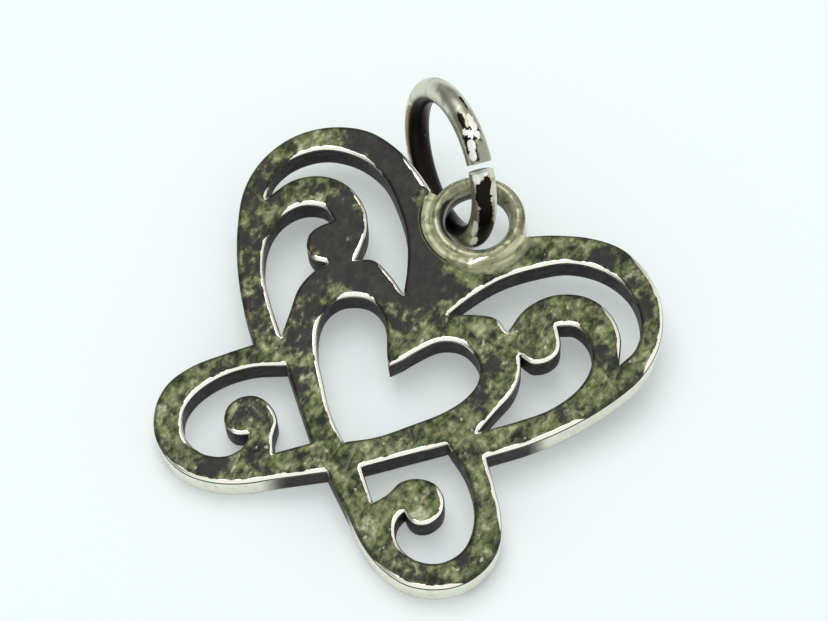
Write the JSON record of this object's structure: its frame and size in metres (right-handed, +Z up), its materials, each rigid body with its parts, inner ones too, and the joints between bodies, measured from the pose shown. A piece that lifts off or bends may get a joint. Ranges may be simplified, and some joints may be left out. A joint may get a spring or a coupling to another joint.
{
  "type": "heart charm",
  "caption": "Flat openwork charm with a pierced heart between scrolled lobes, a soldered eye at the top and a loose open jump ring to hang it by.",
  "frame": {"origin": "middle of the footprint's box, on the table that the charm lies on", "axes": "+Z up from the table; +Y from the lower lobes to the eye, square to the pierced heart's width; +X to the right as seen from above with the eye at the top"},
  "size_m": [0.0178, 0.0182, 0.0069],
  "materials": {
    "oxidised_silver": "oxidised silver with a granular, scratched face and edges rubbed bright",
    "satin_silver": "smooth satin silver, a little tarnished",
    "solder": "silver solder as it flowed, a little tarnished",
    "polished_silver": "polished silver wire with marks of pliers by the cut"
  },
  "bodies": {
    "charm": {"openwork_plate": "oxidised_silver", "hanger_eye": "satin_silver", "solder_seam": "solder"},
    "jump_ring": {"jump_ring": "polished_silver"}
  },
  "joints": [
    {"name": "jump_ring_round_eye", "type": "hinge", "parent": "charm", "child": "jump_ring", "pos_m": [0, 0.00571, 0.00182], "axis": [0, -0.0799, 0.9968], "range_deg": [-120, 0]}
  ]
}
